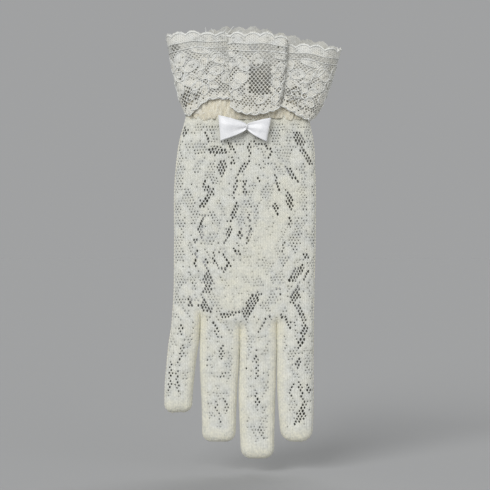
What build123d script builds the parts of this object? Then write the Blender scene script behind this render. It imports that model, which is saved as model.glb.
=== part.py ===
from build123d import *
import os

# A right-hand lace wedding glove that hangs by its wrist, in millimetres.
# +Z is up the arm, +X the thumb side, and the back of the hand faces -Y.
# The origin is the middle of the wrist opening, at the glove's top edge.

# ---- driving dimensions ----
FABRIC = 0.7                 # thickness given to every lace wall
JOINT_GAP = 0.7              # clear slot between two lengths of finger at a bend line
KNUCKLE_GAP = 1.0            # from a knuckle's line up to the hand's cut edge
SEAM_WIDTH = 0.8             # width of a side seam, seen from the side

# Hand: (height, middle, width, thickness) of each section, wrist to finger roots
HAND_SECTIONS = [
    (0, 2.6, 64.6, 9.0),
    (-13, 1.3, 70.4, 9.0),
    (-30, 0.8, 73.6, 9.0),
    (-70, 0.5, 74.2, 9.0),
    (-100, -0.4, 74.4, 9.0),
    (-117, -1.0, 75.4, 8.2),
]
KNUCKLE_Y = 4.1              # palm-side face at the finger roots, where the knuckles bend

# Fingers: (name, root x, root z, width, length, lean in degrees towards -X)
FINGERS = [
    ("pinky", -31.6, -108.5, 14.4, 49.1, 4.4),
    ("ring", -12.6, -113.5, 18.2, 59.3, 1.0),
    ("middle", 7.4, -113.5, 18.2, 68.3, 0.0),
    ("index", 27.2, -113.5, 18.2, 59.3, -0.8),
]
FINGER_THICKNESS = 7.6
BASE_SHARE = 0.38            # knuckle to middle joint, as a share of the finger
MIDDLE_SHARE = 0.30          # middle joint to tip joint
TIP_ROUND = 0.40             # radius of a blunt tip's corners, as a share of the width
TIP_BEVEL = 0.33             # bevel of a tip seen from the side, as a share of the thickness

# Thumb, folded flat behind the palm
THUMB_WIDTH = 19.0
THUMB_THICKNESS = 7.8
THUMB_LENGTH = 80.0
THUMB_LEAN = 34.0
THUMB_TOP = (35.8, -32.0)    # x and z of the middle of its cut end, hidden beside the fold
THUMB_Y = 9.3
THUMB_FOLD_X = 33.0          # upright fold line that the thumb swings out on
THUMB_BEND = 46.0            # from its cut end down to the thumb's own joint
THUMB_HOLE = (31.2, -37.0, 7.0, 38.0)   # middle x and z, width and height of its seam

# Wrist hem and the elastic inside it
HEM_HEIGHT = 10.0
HEM_WIDTH = 64.0
HEM_THICKNESS = 11.0
ELASTIC_HEIGHT = 7.0
ELASTIC_THICKNESS = 0.8

# Ruffle: stands up from the hem and flares
RUFFLE_FOOT = (1.0, 3.7, 67.6, 14.6)    # height, middle, width, thickness
RUFFLE_WAIST = (18.0, 4.2, 80.0, 18.0)
RUFFLE_TOP = (46.0, 5.0, 93.0, 25.0)
GATHER_HEIGHT = 2.0

# Satin bow on the front of the wrist
BOW_PINCH = (1.1, -7.0, -6.3)
BOW_LOOP_LENGTH = 13.4
BOW_LOOP_DEPTH = 3.8
BOW_END_HEIGHT = 12.8
BOW_PINCH_HEIGHT = 3.2
RIBBON = 0.4

LARGE = 400.0


def stadium(height, middle, width, thickness, inset=0.0):
    """A flat oval across the glove at one height, made smaller all round by inset."""
    oval = SlotOverall(width - 2 * inset, thickness - 2 * inset)
    return Plane.XY.offset(height) * (Pos(middle, 0) * oval)


def slab(low, high):
    """A box from its low corner to its high corner."""
    size = [high[i] - low[i] for i in range(3)]
    centre = [(high[i] + low[i]) / 2 for i in range(3)]
    return Pos(*centre) * Box(*size)


def halves(shell, gap=0.0, y=0.0):
    """The back of the hand's half and the palm's half of a tube."""
    back = shell & slab((-LARGE, -LARGE, -LARGE), (LARGE, y - gap / 2, LARGE))
    palm = shell & slab((-LARGE, y + gap / 2, -LARGE), (LARGE, LARGE, LARGE))
    return back, palm


def blunt_tube(width, thickness, length, tip_round, inset=0.0):
    """A flat tube that hangs from z = 0 and ends in a blunt rounded tip."""
    wide = width - 2 * inset
    thick = thickness - 2 * inset
    deep = length - inset
    lift = 2 * inset
    tube = Pos(0, 0, -deep) * extrude(SlotOverall(wide, thick), deep + lift)
    front = Plane.XZ * (Pos(0, (lift - deep) / 2) * Rectangle(wide, deep + lift))
    front = fillet(front.vertices().group_by(Axis.Z)[0], tip_round - inset)
    side = Plane.YZ * (Pos(0, (lift - deep) / 2) * Rectangle(thick, deep + lift))
    side = chamfer(side.vertices().group_by(Axis.Z)[0], thick * TIP_BEVEL)
    return tube & extrude(front, thick, both=True) & extrude(side, wide, both=True)


def hollow_finger(width, thickness, length):
    """The whole lace tube of one finger, open at the top."""
    tip_round = width * TIP_ROUND
    outside = blunt_tube(width, thickness, length, tip_round)
    return outside - blunt_tube(width, thickness, length, tip_round, FABRIC)


def hand_form(inset=0.0):
    """The solid form inside the hand, or its outside where inset is 0."""
    return loft([stadium(*section, inset) for section in HAND_SECTIONS])


def hand_shell():
    """The lace tube of the hand, cut off in a step at the root of each finger."""
    shell = hand_form() - hand_form(FABRIC)
    pinky, ring = FINGERS[0], FINGERS[1]
    pinky_end = pinky[2] + KNUCKLE_GAP
    hand_end = ring[2] + KNUCKLE_GAP
    shell -= slab((-LARGE, -LARGE, -LARGE), (LARGE, LARGE, hand_end))
    step_x = ring[1] - ring[3] / 2 - JOINT_GAP
    shell -= slab((-LARGE, -LARGE, -LARGE), (step_x, LARGE, pinky_end))
    return shell


def hand_parts():
    """Back panel, palm panel and the two side seams between them."""
    shell = hand_shell()
    back, palm = halves(shell, SEAM_WIDTH)
    belt = slab((-LARGE, -SEAM_WIDTH / 2, -LARGE), (0, SEAM_WIDTH / 2, LARGE))
    other = slab((0, -SEAM_WIDTH / 2, -LARGE), (LARGE, SEAM_WIDTH / 2, LARGE))
    return {
        "back_panel": back,
        "palm_panel": palm,
        "pinky_side_seam": shell & belt,
        "thumb_side_seam": shell & other,
    }


def crotch_seams():
    """The short seams that join back to palm between each two fingers."""
    inside = hand_form(FABRIC + 0.02)
    parts = {}
    for near, far in zip(FINGERS, FINGERS[1:]):
        left = near[1] + near[3] / 2
        right = far[1] - far[3] / 2
        middle = (left + right) / 2
        width = min(right - left, 1.0)
        if near[0] == "pinky":
            middle = right - JOINT_GAP + width / 2
        bottom = far[2] + KNUCKLE_GAP
        strip = slab((middle - width / 2, -LARGE, bottom), (middle + width / 2, LARGE, bottom + 7))
        parts[f"{near[0]}_{far[0]}_crotch_seam"] = strip & inside
    return parts


def finger_parts(name, root_x, root_z, width, length, lean):
    """Back and palm halves of a finger's three lengths."""
    tube = hollow_finger(width, FINGER_THICKNESS, length)
    middle_at = length * BASE_SHARE
    tip_at = length * (BASE_SHARE + MIDDLE_SHARE)
    cuts = [("base", 0, middle_at), ("middle", middle_at, tip_at), ("tip", tip_at, length + JOINT_GAP)]
    place = Location((root_x, 0, root_z), (0, lean, 0))
    parts = {}
    for stretch, start, end in cuts:
        low = (-LARGE, -LARGE, -end + JOINT_GAP / 2)
        high = (LARGE, LARGE, -start - JOINT_GAP / 2)
        back, palm = halves(tube & slab(low, high))
        parts[f"{name}_{stretch}_back"] = place * back
        parts[f"{name}_{stretch}_palm"] = place * palm
    return parts


def thumb_parts():
    """Two lengths of the thumb, and the seam of the hole that it is set in."""
    tube = hollow_finger(THUMB_WIDTH, THUMB_THICKNESS, THUMB_LENGTH)
    place = Location((THUMB_TOP[0], THUMB_Y, THUMB_TOP[1]), (0, THUMB_LEAN, 0))
    bend_slot = JOINT_GAP / 2
    upper = place * (tube & slab((-LARGE, -LARGE, -THUMB_BEND + bend_slot), (LARGE, LARGE, LARGE)))
    lower = place * (tube & slab((-LARGE, -LARGE, -LARGE), (LARGE, LARGE, -THUMB_BEND - bend_slot)))
    upper &= slab((-LARGE, -LARGE, -LARGE), (THUMB_FOLD_X - bend_slot, LARGE, LARGE))
    parts = {}
    for stretch, tube_length in (("base", upper), ("tip", lower)):
        outer, inner = halves(tube_length, y=THUMB_Y)
        parts[f"thumb_{stretch}_palm"] = outer
        parts[f"thumb_{stretch}_back"] = inner
    x, z, width, height = THUMB_HOLE
    ring = Ellipse(width / 2, height / 2) - Ellipse(width / 2 - 1.2, height / 2 - 1.2)
    face = Plane.XZ * (Pos(x, z) * ring)
    surface = HAND_SECTIONS[2][3] / 2
    parts["thumb_hole_seam"] = Pos(0, surface + 0.6, 0) * extrude(face, 0.5)
    return parts


def ring(outer, inner, low, high):
    """An upright flat ring between two (middle, width, thickness) ovals."""
    face = stadium(low, *outer) - stadium(low, *inner)
    return extrude(face, high - low, dir=(0, 0, 1))


def oval_inset(oval, inset):
    """A (middle, width, thickness) oval made smaller all round."""
    return (oval[0], oval[1] - 2 * inset, oval[2] - 2 * inset)


def wrist_parts():
    """The folded hem at the wrist, open along its foot, and the elastic in it."""
    edge = (HAND_SECTIONS[0][1], HEM_WIDTH, HEM_THICKNESS)
    slack = 0.1
    channel = ELASTIC_THICKNESS + 2 * slack
    depth = 2 * FABRIC + channel
    hem = ring(edge, oval_inset(edge, depth), 0, HEM_HEIGHT)
    hem -= ring(oval_inset(edge, FABRIC), oval_inset(edge, FABRIC + channel), 0, HEM_HEIGHT - FABRIC)
    outside = oval_inset(edge, FABRIC + slack)
    inside = oval_inset(edge, FABRIC + slack + ELASTIC_THICKNESS)
    low = (HEM_HEIGHT - FABRIC - ELASTIC_HEIGHT) / 2
    return {"wrist_hem": hem, "wrist_elastic": ring(outside, inside, low, low + ELASTIC_HEIGHT)}


def ruffle_parts():
    """The flared lace ruffle and the gathered seam that holds it to the hem."""
    sections = [RUFFLE_FOOT, RUFFLE_WAIST, RUFFLE_TOP]
    outside = loft([stadium(*section) for section in sections])
    inside = loft([stadium(*section, FABRIC) for section in sections])
    hem = (HAND_SECTIONS[0][1], HEM_WIDTH + 0.2, HEM_THICKNESS + 0.2)
    seam_low = RUFFLE_FOOT[0] + 1.0
    band = extrude(stadium(seam_low, hem[0], hem[1] + 8, hem[2] + 8), GATHER_HEIGHT, dir=(0, 0, 1))
    core = extrude(stadium(seam_low, *hem), GATHER_HEIGHT, dir=(0, 0, 1))
    return {"ruffle": outside - inside, "ruffle_gather_seam": (band & inside) - core}


def bow_loop(side):
    """One flattened loop of ribbon, side -1 towards the little finger or +1."""
    tip = side * BOW_LOOP_LENGTH
    front = ThreePointArc((0, 0), (tip / 2, -BOW_LOOP_DEPTH / 2), (tip, 0))
    rear = ThreePointArc((tip, 0), (tip / 2, BOW_LOOP_DEPTH / 2), (0, 0))
    lens = make_face([front, rear])
    hollow = offset(lens, -RIBBON)
    tube = extrude(lens - hollow, BOW_END_HEIGHT / 2, dir=(0, 0, 1), both=True)
    narrow = BOW_PINCH_HEIGHT / 2
    wide = BOW_END_HEIGHT / 2
    fan = Polygon((0, narrow), (0, -narrow), (tip, -wide), (tip, wide), align=None)
    outline = extrude(Plane.XZ * fan, BOW_LOOP_DEPTH, both=True)
    return Pos(*BOW_PINCH) * (tube & outline)


def bow_parts():
    """Two ribbon loops and the thread wound round the pinch between them."""
    wrap = RectangleRounded(2.8, 5.2, 1.2) - RectangleRounded(2.0, 4.4, 0.8)
    thread = extrude(Plane.YZ * wrap, 0.8, both=True)
    return {
        "bow_left_loop": bow_loop(-1),
        "bow_right_loop": bow_loop(1),
        "bow_stitch": Pos(*BOW_PINCH) * thread,
    }


def glove():
    """Every piece of the glove by its node name."""
    parts = {}
    parts.update(hand_parts())
    parts.update(crotch_seams())
    for finger in FINGERS:
        parts.update(finger_parts(*finger))
    parts.update(thumb_parts())
    parts.update(wrist_parts())
    parts.update(ruffle_parts())
    parts.update(bow_parts())
    return parts


os.makedirs("parts", exist_ok=True)
for node, shape in glove().items():
    export_step(shape, f"parts/{node}.step")
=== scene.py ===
import bpy
import math
import numpy as np
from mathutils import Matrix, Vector


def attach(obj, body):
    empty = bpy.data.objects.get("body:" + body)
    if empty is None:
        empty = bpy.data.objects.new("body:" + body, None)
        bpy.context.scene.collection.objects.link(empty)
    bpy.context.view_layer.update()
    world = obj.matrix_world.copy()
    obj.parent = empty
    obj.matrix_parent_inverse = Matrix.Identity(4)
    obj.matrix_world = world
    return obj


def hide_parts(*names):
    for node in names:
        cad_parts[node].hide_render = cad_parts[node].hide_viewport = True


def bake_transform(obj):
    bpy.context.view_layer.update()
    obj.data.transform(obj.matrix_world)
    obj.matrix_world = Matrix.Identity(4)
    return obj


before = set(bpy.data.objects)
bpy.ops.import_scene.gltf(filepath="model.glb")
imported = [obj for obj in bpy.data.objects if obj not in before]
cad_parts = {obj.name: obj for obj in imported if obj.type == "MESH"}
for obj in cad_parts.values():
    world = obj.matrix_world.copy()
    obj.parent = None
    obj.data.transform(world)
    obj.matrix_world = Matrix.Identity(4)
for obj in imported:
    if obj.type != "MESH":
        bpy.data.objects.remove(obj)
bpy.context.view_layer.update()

# Lengths are in millimetres in the row frame: +X thumb side, +Z up the arm, the back of the hand faces -Y.
MM = 0.001
TURN = 2 * math.pi
RANDOM = np.random.default_rng(721)

# ---- the lace's net: X counts half a pitch across, Y a third of a row down ----
STEP_Y = 0.5
ROW = 3 * STEP_Y
EDGE_X = [0, 18, 44, 68, 92]  # where the finger columns meet, counted from the little finger's side
NET_THICK = 0.24
SOLID_THICK = 0.62
FINE_HOLE = 0.38  # a hole's size as a share of its cell, in the fine net
WIDE_HOLE = 0.82  # and in the open strokes
UNEVEN = 0.26  # a knot of the net strays by up to half of this either way
CORNERS = np.array([(1, 1), (0, 2), (-1, 1), (-1, -1), (0, -2), (1, -1)])

# ---- outline of the hand and fingers: (height, x) ----
HAND_LEFT = [(4, -29.6), (-3, -31.3), (-13, -34), (-30, -36.2), (-70, -36.8), (-100, -37.4), (-125, -40)]
HAND_RIGHT = [(4, 34.2), (-3, 34.6), (-13, 36.6), (-30, 37.5), (-70, 37.6), (-100, 36.9), (-125, 36.6)]
HAND_DEPTH = 4.3
FINGER_DEPTH = 3.7
CROTCH_Z = [-108, -107.9, -114.5, -111.3, -112]
CROTCH_X = [-38, -23.1, -2.0, 17.5, 36.8]
PARTING = 6  # height over which the fingers' tubes part from the hand
FINGERS = {
    "pinky": dict(
        left=[(-95, -37.3), (-112, -38.4), (-121, -39.8), (-131, -40.8), (-140, -41.6), (-158, -42.1)],
        right=[(-95, -23.1), (-108, -23.1), (-117, -23.9), (-131.5, -26.0), (-148, -27.6), (-158, -28.2)],
        tip=-157.4, corner=4.6, knuckle=-108.5, bends=(-127.1, -141.8)),
    "ring": dict(
        left=[(-95, -23.1), (-108, -23.1), (-120, -23.3), (-137, -23.1), (-150, -22.4), (-173, -22.0)],
        right=[(-95, -2.0), (-114.5, -2.1), (-131, -2.9), (-148, -4.1), (-165, -4.7), (-173, -4.9)],
        tip=-172.8, corner=4.8, knuckle=-113.5, bends=(-136.0, -153.8)),
    "middle": dict(
        left=[(-95, -2.0), (-114.5, -2.0), (-131, -2.1), (-148, -2.6), (-165, -2.0), (-182, -1.3)],
        right=[(-95, 17.5), (-111.5, 17.4), (-131, 17.0), (-148, 16.4), (-165, 15.9), (-182, 15.7)],
        tip=-181.8, corner=5.2, knuckle=-113.5, bends=(-139.5, -159.9)),
    "index": dict(
        left=[(-95, 17.5), (-111.5, 17.5), (-131, 17.8), (-148, 18.1), (-160, 18.9), (-173, 20.2)],
        right=[(-95, 36.9), (-112, 36.8), (-131, 36.6), (-160, 36.5), (-173, 35.8)],
        tip=-172.8, corner=6.0, knuckle=-113.5, bends=(-136.0, -153.8)),
}
TIP_SWEEP = 3.4  # how far above its end a fingertip starts to close


def hermite(t, a, b, leave, arrive):
    """Smooth values from a to b while t goes from 0 to 1, with these slopes at the two ends."""
    start = (1 + 2 * t) * (1 - t) ** 2 * a + t * (1 - t) ** 2 * leave
    return start + t * t * (3 - 2 * t) * b + t * t * (t - 1) * arrive


def smooth_line(knots, at):
    """The value at each height on a smooth line through (height, value) knots."""
    k = np.array(sorted(knots), float)
    slope = np.gradient(k[:, 1], k[:, 0])
    at = np.clip(at, k[0, 0], k[-1, 0])
    i = np.clip(np.searchsorted(k[:, 0], at) - 1, 0, len(k) - 2)
    step = k[i + 1, 0] - k[i, 0]
    t = (at - k[i, 0]) / step
    return hermite(t, k[i, 1], k[i + 1, 1], step * slope[i], step * slope[i + 1])


def smoothstep(t):
    t = np.clip(t, 0, 1)
    return t * t * (3 - 2 * t)


def full_turn(count):
    """Angles evenly round a circle."""
    return np.linspace(0, TURN, count, endpoint=False)


def unit(vectors):
    """The same directions with length 1."""
    return vectors / np.maximum(np.linalg.norm(vectors, axis=-1, keepdims=True), 1e-9)


def oval_table(wide, thick, power):
    """Share of the way round a flat oval's face, and the position across it at each."""
    across = np.sin(np.linspace(-math.pi / 2, math.pi / 2, 600))
    depth = (1 - np.abs(across) ** power) ** (1 / power)
    steps = np.hypot(np.diff(across) * wide, np.diff(depth) * thick)
    share = np.concatenate([[0], np.cumsum(steps)])
    return 2 * share / share[-1] - 1, across, power


def oval_at(table, share):
    """Position across (-1 to 1) and depth (0 to 1) at each share of the way round."""
    across = np.interp(share, table[0], table[1])
    return across, np.clip(1 - np.abs(across) ** table[2], 0, 1) ** (1 / table[2])


HAND_OVAL = oval_table(37.0, HAND_DEPTH, 2.7)
FINGER_OVAL = oval_table(9.0, FINGER_DEPTH, 2.3)
WAVES = [(RANDOM.uniform(0, TURN), TURN / RANDOM.uniform(7, 24), RANDOM.uniform(0, 6.3)) for _ in range(12)]


def ripple(x, z, shift=0.0):
    """Slow unevenness of lying cloth, about -1 to 1."""
    total = 0
    for turn, rate, start in WAVES:
        total = total + np.sin((x * math.cos(turn) + z * math.sin(turn)) * rate + start + shift)
    return total / 4.5


def finger_rows(finger):
    """The last row of a finger's net, and the length down to where the tip starts to close."""
    straight = -finger["tip"] - TIP_SWEEP
    last = round((straight + TIP_SWEEP * math.pi / 2) / ROW)
    return last, straight


def glove_point(X, Y, finger, side):
    """Points of the cloth for net coordinates; side is -1 on the back of the hand and +1 on the palm."""
    length = Y * STEP_Y
    share = X / (EDGE_X[-1] / 2) - 1
    calm = 1 - np.abs(share) ** 8
    across, depth = oval_at(HAND_OVAL, share)
    z = -length
    if finger:
        last, straight = finger_rows(finger)
        turn = np.clip((length - straight) / (last * ROW - straight), 0, 1) * math.pi / 2
        z = np.where(length < straight, -length, -straight - TIP_SWEEP * np.sin(turn))
    left, right = smooth_line(HAND_LEFT, z), smooth_line(HAND_RIGHT, z)
    x = (left + right) / 2 + across * (right - left) / 2
    y = HAND_DEPTH * depth
    if finger:
        first, end = finger["columns"]
        f_share = 2 * (X - first) / (end - first) - 1
        f_across, f_depth = oval_at(FINGER_OVAL, f_share)
        f_left, f_right = smooth_line(finger["left"], z), smooth_line(finger["right"], z)
        radius = finger["corner"]
        below = np.clip(finger["tip"] + radius - z, 0, radius)
        shrink = radius - np.sqrt(radius ** 2 - below ** 2)
        f_x = (f_left + f_right) / 2 + f_across * ((f_right - f_left) / 2 - shrink)
        meet = smoothstep((np.interp(X, EDGE_X, CROTCH_Z) + PARTING - z) / PARTING)
        x = (1 - meet) * x + meet * f_x
        y = (1 - meet) * y + meet * FINGER_DEPTH * f_depth * np.cos(turn)
        calm = (1 - meet) * calm + meet * (1 - np.abs(f_share) ** 4)
    y = y * (1 + 0.07 * ripple(x, z, side)) + 0.02
    # the doubled cloth beside each slit is thicker, and the wrist is gathered by its elastic
    padded = smoothstep((3.6 - side_margin(x, z)) / 1.8) * smoothstep((-z - 98) / 8)
    y = y + 0.6 * padded * np.sqrt(y / HAND_DEPTH)
    gathers = np.sin(1.25 * x + 1.5 * np.sin(0.37 * x + side)) + 0.6 * np.sin(0.71 * x + 0.1 * z + side)
    y = y + 0.4 * gathers * smoothstep((z + 13) / 10) * depth
    # the knit is pulled a little out of line around the flowers
    pull = calm * smoothstep(-z / 8) * smoothstep((z + 176) / 12)
    slide, sag = ripple(1.3 * x, 1.3 * z, 4.0), ripple(1.2 * z, 1.2 * x, 1.0)
    return np.stack([x + 0.42 * pull * slide, side * y, z + 0.5 * pull * sag], -1)


# ---- what is open in the lace: strokes of net between the solid flowers, as (width, point, ...) ----
STROKES = [
    (2.5, (-31, -6.5), (-32.3, -11)), (1.4, (-21, -9), (-18, -14)), (4.6, (-18, -18.5), (-11, -19)),
    (1.7, (-8, -15), (-4, -20)), (1.7, (2.3, -14.5), (3, -21)),
    (1.3, (5.8, -14), (11, -15), (14.6, -19.3), (13.3, -23.3)), (4, (-11.4, -24), (-11.4, -32)),
    (1.7, (-6.5, -22.5), (-6, -25.5)), (2.6, (-21, -35), (-20.7, -39), (-15.4, -39.2)),
    (3, (-17.2, -41), (-24.2, -48.5)), (1.9, (0.5, -35), (0, -42)), (1.3, (6.2, -32), (8, -35.5)),
    (1.8, (2.7, -23.5), (-3.9, -32)), (1.4, (-3.9, -32), (-5.7, -44)), (2.4, (-3.9, -47), (-6.5, -55.5)),
    (2.8, (-7, -59), (-9.5, -65)), (1.4, (-9.5, -65), (-10.5, -68)), (2, (-26, -65), (-25.5, -67.5)),
    (1.8, (-21, -53), (-23.8, -60), (-22, -64)), (1.4, (-1.7, -60.4), (-2.1, -65)),
    (1.3, (2.3, -52.4), (4, -60.4), (1, -68)), (2.1, (-5.7, -70.5), (-2, -73.6)),
    (1.2, (-16.7, -73), (-15.4, -78), (-11.4, -82), (-7.9, -79.4), (-9.2, -75), (-12.8, -72.4)),
    (1.7, (-24.7, -72), (-26.4, -80)), (1.6, (-20.7, -75.4), (-19, -82.5)),
    (4, (-19, -82.5), (-19.4, -91)), (2.5, (-23.3, -94), (-18, -91.3)),
    (2, (-28.2, -96.6), (-28.2, -101)), (4, (-23, -100), (-18, -103)), (5, (28, -10), (30.5, -15.4)),
    (2.6, (30.5, -15.4), (35.5, -26)), (2.1, (22, -27.3), (25.2, -30.4), (28.8, -35.7)),
    (3, (22.6, -39.2), (25.2, -49)), (2.2, (16, -47), (17.7, -51.5)), (1.3, (16.8, -31.7), (19, -40)),
    (1.3, (23.9, -51.5), (24.8, -58.6)), (1.2, (21.7, -66.6), (19.9, -72)),
    (1.7, (31.8, -72.8), (34, -75)), (3.8, (30.5, -79.4), (24.3, -87.8)),
    (1.5, (34, -82.5), (31.4, -87.8)), (4.4, (28.8, -92), (26, -98.4)), (2.6, (26, -98.4), (33, -109)),
    (4.6, (7.5, -94), (4, -99.3), (0.9, -107)), (1.3, (17.3, -90.4), (19, -95)),
    (3.6, (-21, -98), (-20.3, -103)), (2.2, (-16.5, -109.6), (-13.1, -117)),
    (2.2, (-12.7, -105.8), (-1.4, -103.6)), (1.5, (13.6, -106), (10, -109), (7.7, -115)),
    (1.4, (18.7, -105), (24, -110), (24.8, -112.6)), (2.8, (33, -109), (29.5, -122.5)),
    (2.3, (29, -128.5), (28.2, -133)), (1.5, (29.3, -141.4), (31.2, -151.3)),
    (3.6, (31.2, -153), (31, -158), (27.4, -162.6)), (1.6, (33.6, -142), (34.6, -149)),
    (1.1, (26, -141), (24.4, -148)), (2.4, (-12, -121), (-12, -128)), (2, (-20.2, -130), (-20.2, -137)),
    (1.3, (-10.4, -136), (-12, -139)), (1.2, (-15.3, -151), (-12, -162.6)),
    (1.2, (-10.8, -149.7), (-8.2, -156.6)), (1.4, (6.2, -122.5), (7, -140.7)),
    (1.7, (5.9, -146), (7.7, -152.8)), (1.2, (7.7, -164), (10, -171.5)), (1.3, (0.2, -131), (1.2, -137)),
    (1.7, (-33.5, -111), (-33.9, -117)), (2, (-31.6, -121), (-34.7, -130)),
    (1.9, (-38.6, -130), (-39.8, -145)), (1.6, (-35.4, -134.6), (-35.4, -146)),
]
# Solid ribbons of the flowers on the hand, as (width, point, ...).
RIBBONS = [
    (2.3, (-31.3, -13.8), (-28.1, -10.4), (-21.7, -11.7), (-17.3, -15.4),
     (-19.4, -20.4), (-26, -22.9), (-30.7, -20.7), (-32.1, -16.4)),
    (2.5, (-21.5, -30.7), (-21.1, -26), (-16.4, -22.5), (-10.1, -21.8),
     (-4.6, -25.2), (-5.3, -30.7), (-10.1, -36.3)), (2.8, (-19.1, -36.6), (-14.1, -38.4), (-6.9, -39.2)),
    (2.5, (-2.4, -17), (-1.8, -22.3), (-3.1, -29.7)), (3.2, (3.7, -22.3), (6.4, -28.6), (3.7, -33.9)),
    (2.5, (-31.8, -24.6), (-27, -31.8), (-22.8, -38.7), (-24.9, -43.5)),
    (4.2, (-14.8, -41.3), (-10.1, -43.5), (-7.4, -47.7)), (2.8, (-17, -48.8), (-15.4, -42.4)),
    (2.5, (-4.6, -43.5), (-2.4, -36), (1.6, -31.8), (9, -29.9), (15.4, -29.7)),
    (2.8, (6.4, -41.3), (10.3, -35), (13.2, -31.8)),
    (2.8, (17.5, -31), (22.3, -36), (26, -42.4), (24.4, -46.6)),
    (3.2, (20.1, -41.3), (22.8, -47.7), (20.7, -54.1), (17.5, -60.4)),
    (5.3, (28.1, -19.6), (28.6, -24.9)), (2.5, (34.4, -28.6), (35, -60.4)),
    (3.6, (10.1, -46.6), (9, -60.4), (13.2, -71), (17.5, -77.4)),
    (3, (-30.2, -51.9), (-29.1, -60.4), (-31.3, -68.9)), (4.2, (-19.1, -56.2), (-16.4, -60.4)),
    (2.5, (-10.1, -54.1), (-11.1, -60.4), (-13.2, -65.7)),
    (2.5, (-4.8, -56.2), (-4.2, -64.7), (-6.9, -70)), (2.3, (-22.8, -70), (-23.3, -77.4), (-22.3, -84.8)),
    (2.8, (-13.2, -73.1), (-10.9, -78.4)),
    (2.5, (-19.1, -70), (-10.1, -68.1), (-4.8, -72.3), (-3.2, -78.4), (-6.9, -84.8), (-14.1, -84)),
    (2.5, (-30.2, -75.3), (-31.3, -83.7), (-27.6, -92.2), (-30.2, -100.7)),
    (3.2, (-14.1, -84.8), (-13.2, -92.2), (-9, -97.5)), (3.2, (-6.9, -88), (0.5, -90.1), (2.6, -95.4)),
    (3.2, (21.7, -70), (26, -75.3), (21.7, -81.6)), (2.8, (31.3, -64.7), (36.6, -73.1)),
    (3, (10.1, -84.8), (14.3, -90.1), (11.1, -96.5)), (3, (20.7, -91.2), (21.7, -98.6), (17.5, -102.8)),
    (3.6, (31.3, -88), (32.3, -95.4)), (2.8, (26, -102.8), (21.7, -109.2)),
]
# The thumb lies behind this line of the palm, so the lace looks denser and creamier there.
THUMB_SHADE = [(24, -42), (10, -68), (-6, -96)]


def nearest_on(x, z, points):
    """Distance of each place from a line, and the share of the line's length where it is nearest."""
    best, share, gone = np.full(np.shape(x), 1e9), np.zeros(np.shape(x)), 0.0
    for (ax, az), (bx, bz) in zip(points, points[1:]):
        dx, dz = bx - ax, bz - az
        t = np.clip(((x - ax) * dx + (z - az) * dz) / (dx * dx + dz * dz), 0, 1)
        away = np.hypot(x - ax - t * dx, z - az - t * dz)
        share = np.where(away < best, gone + t * math.hypot(dx, dz), share)
        best = np.minimum(best, away)
        gone += math.hypot(dx, dz)
    return best, share / gone


def distance(x, z, points):
    return nearest_on(x, z, points)[0]


def scatter_leaves():
    """Pointed leaves laid over the whole lace, mostly upright: (x, z, turn, half length, half width)."""
    leaves = []
    for row in range(19):
        for column in range(11):
            x = -44 + 8.6 * column + 4.3 * (row % 2) + RANDOM.uniform(-1.6, 1.6)
            z = -2 - 10.0 * row + RANDOM.uniform(-2, 2)
            turn = math.radians(90 + RANDOM.uniform(-48, 48))
            leaves.append((x, z, turn, RANDOM.uniform(5.2, 7.2), RANDOM.uniform(2.2, 3.1)))
    return leaves


LEAVES = scatter_leaves()


def net_openness(x, z):
    """Share of a net cell that is open at each place: 0 in the solid flowers and leaves."""
    nearest = np.full(np.shape(x), 9.0)
    for lx, lz, turn, long, wide in LEAVES:
        c, s = math.cos(turn), math.sin(turn)
        a, b = ((x - lx) * c + (z - lz) * s) / long, ((z - lz) * c - (x - lx) * s) / wide
        nearest = np.minimum(nearest, np.abs(a) ** 1.6 + np.abs(b) ** 1.6)
    solid = nearest < np.where(z < -104, 1, 0.62)
    for width, *points in RIBBONS:
        solid = solid | (distance(x, z, points) < width / 2 + 0.15)
    size = np.where(solid, 0, FINE_HOLE * (1 + 0.22 * ripple(1.7 * x, 1.7 * z, 2.0)))
    gap, dark = np.full(np.shape(x), 9.0), np.zeros(np.shape(x))
    rough = 0.55 * ripple(2.7 * x, 2.7 * z, 1.0)
    for width, *points in STROKES:
        away, share = nearest_on(x, z, points)
        away = away - width * (0.3 + 0.27 * np.sin(math.pi * share)) + rough * min(1.0, width / 3)
        gap = np.minimum(gap, away)
        dark = np.maximum(dark, np.where(away < 0.25, WIDE_HOLE - 0.14 * np.clip(away + 0.8, 0, 1), 0))
    size = np.where((gap > 0.25) & (gap < 1.5), 0, size)
    return np.maximum(size, dark)


def side_margin(x, z):
    """Distance from the nearest slit between two fingers, beside and above which the cloth is doubled."""
    best = np.full(np.shape(x), 1e9)
    fingers = list(FINGERS.values())
    for edge_x, edge_z, left, right in zip(CROTCH_X[1:4], CROTCH_Z[1:4], fingers, fingers[1:]):
        top = np.hypot(x - edge_x, 0.72 * (z - edge_z))
        down = np.minimum(*(np.abs(x - smooth_line(line, z)) for line in (left["right"], right["left"])))
        best = np.minimum(best, np.where(z > edge_z, top, down))
    return best


def inside_finger(finger, x, z):
    return (x > smooth_line(finger["left"], z) - 0.5) & (x < smooth_line(finger["right"], z) + 0.5)


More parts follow.
